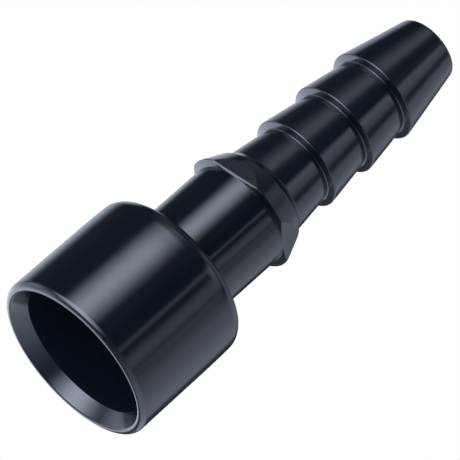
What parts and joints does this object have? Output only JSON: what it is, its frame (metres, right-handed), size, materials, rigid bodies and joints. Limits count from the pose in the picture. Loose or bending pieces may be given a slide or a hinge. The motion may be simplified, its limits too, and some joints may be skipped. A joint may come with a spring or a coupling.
{
  "type": "hose barb fitting",
  "caption": "Straight one-piece moulded fitting that joins a plain pipe socket to a barbed tail for a soft hose, with a collar that has wrench flats.",
  "frame": {"origin": "centre of the socket's mouth, on the surface that the fitting stands on", "axes": "+Z along the axis from the socket's mouth to the tip of the barbed tail, X and Y square to the collar's wrench flats"},
  "size_m": [0.0248, 0.0248, 0.0692],
  "materials": {
    "black_plastic": "smooth satin gloss moulding, near black"
  },
  "bodies": {
    "root": {"fitting_body": "black_plastic"}
  },
  "joints": []
}
